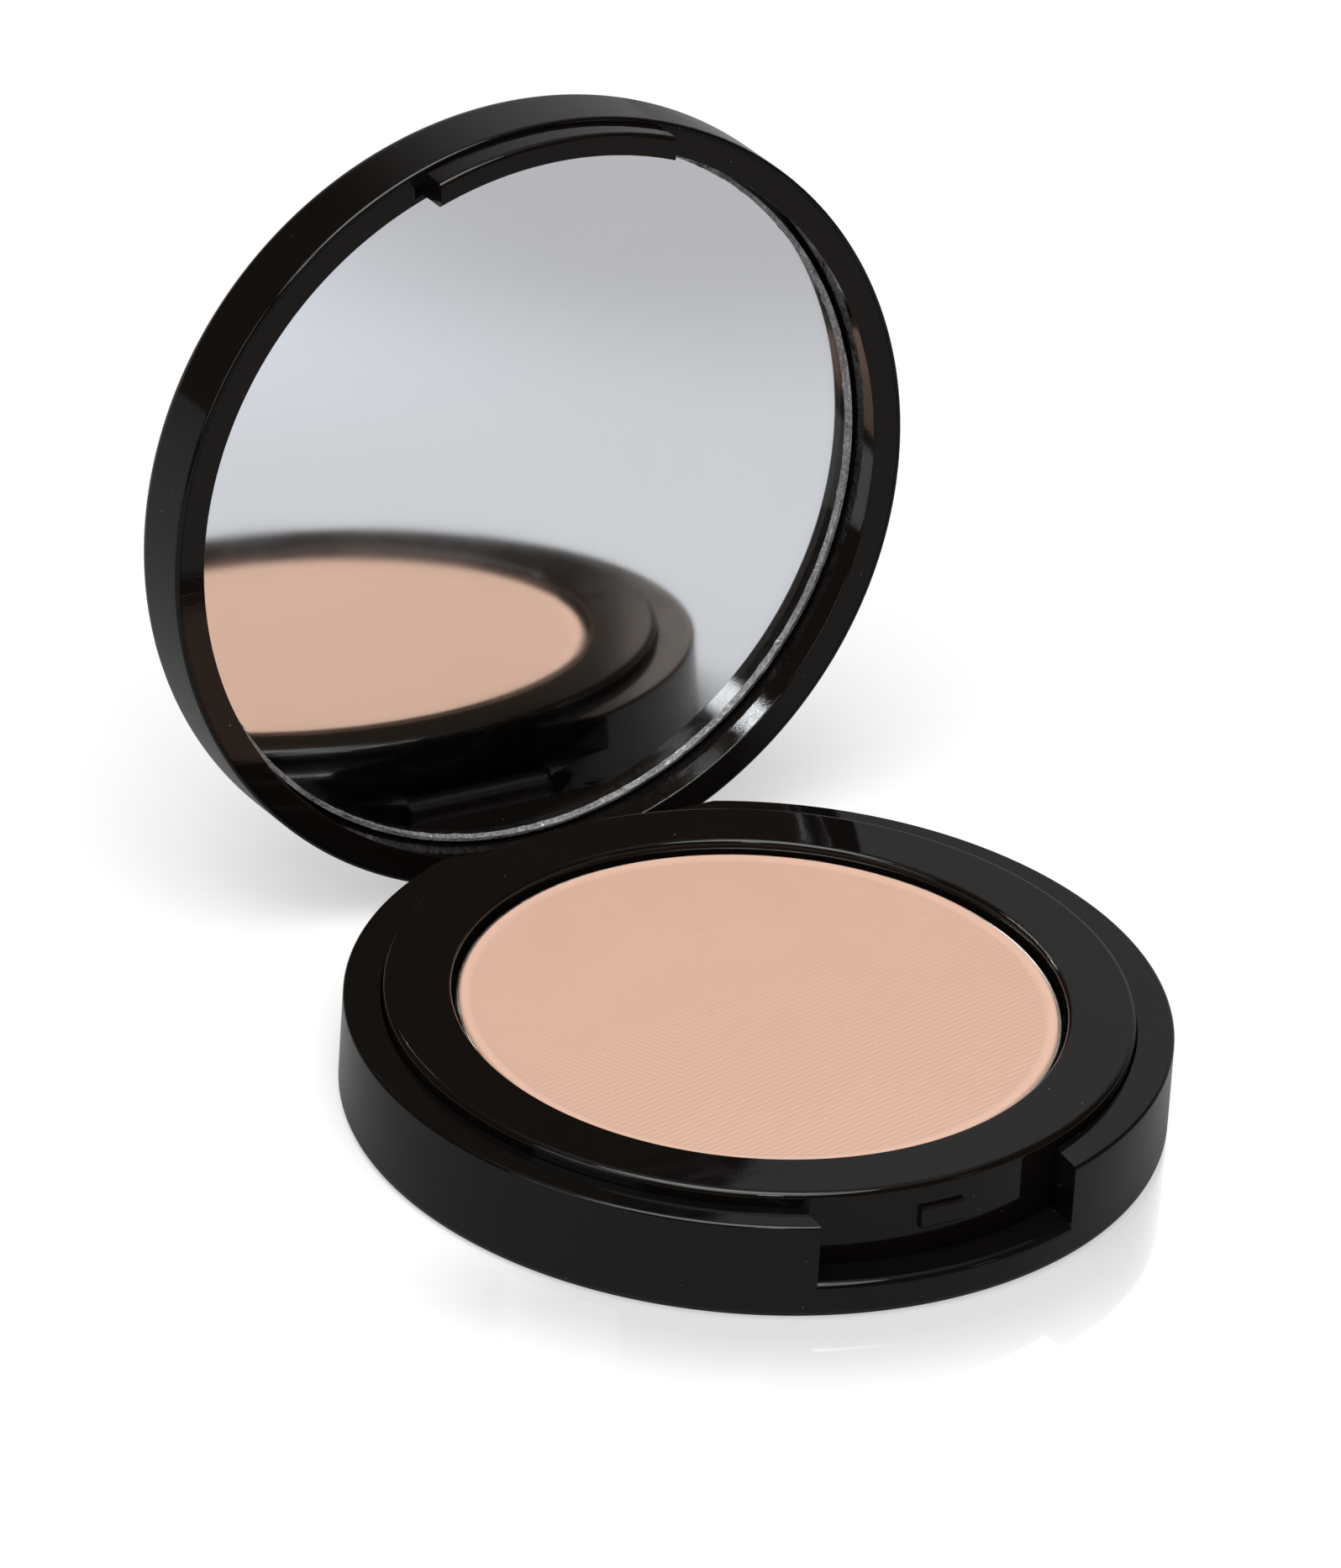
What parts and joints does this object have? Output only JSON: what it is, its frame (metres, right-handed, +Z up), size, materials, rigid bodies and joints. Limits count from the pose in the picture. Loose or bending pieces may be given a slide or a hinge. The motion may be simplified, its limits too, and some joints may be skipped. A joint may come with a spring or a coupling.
{
  "type": "powder compact",
  "caption": "Round hinged makeup compact in gloss black plastic, open at its stop, with a mirror in the lid and a pan of pressed powder in the base.",
  "frame": {"origin": "centre of the base's flat underside, on the surface it stands on", "axes": "+Z up, -Y towards the thumb notch at the front, +X to the right, along the hinge pin"},
  "size_m": [0.075, 0.0944, 0.0754],
  "materials": {
    "case_black": "polished black moulding",
    "insert_black": "polished black moulding",
    "pan_metal": "bright drawn",
    "powder": "pressed face powder with a cloth imprint",
    "tape": "double-sided tape",
    "label": "blank satin label",
    "pin_steel": "drawn wire",
    "mirror": "silvered float glass"
  },
  "bodies": {
    "base": {"base_shell": "case_black", "pan_insert": "insert_black", "powder_pan": "pan_metal", "powder_cake": "powder", "pan_tape": "tape", "base_label": "label", "hinge_pin": "pin_steel"},
    "lid": {"lid_cover": "case_black", "mirror_frame": "insert_black", "mirror": "mirror", "mirror_tape": "tape"}
  },
  "joints": [
    {"name": "lid_hinge", "type": "hinge", "parent": "base", "child": "lid", "pos_m": [0, 0.0352, 0.0039], "axis": [1, 0, 0], "range_deg": [0, 96.5]}
  ]
}
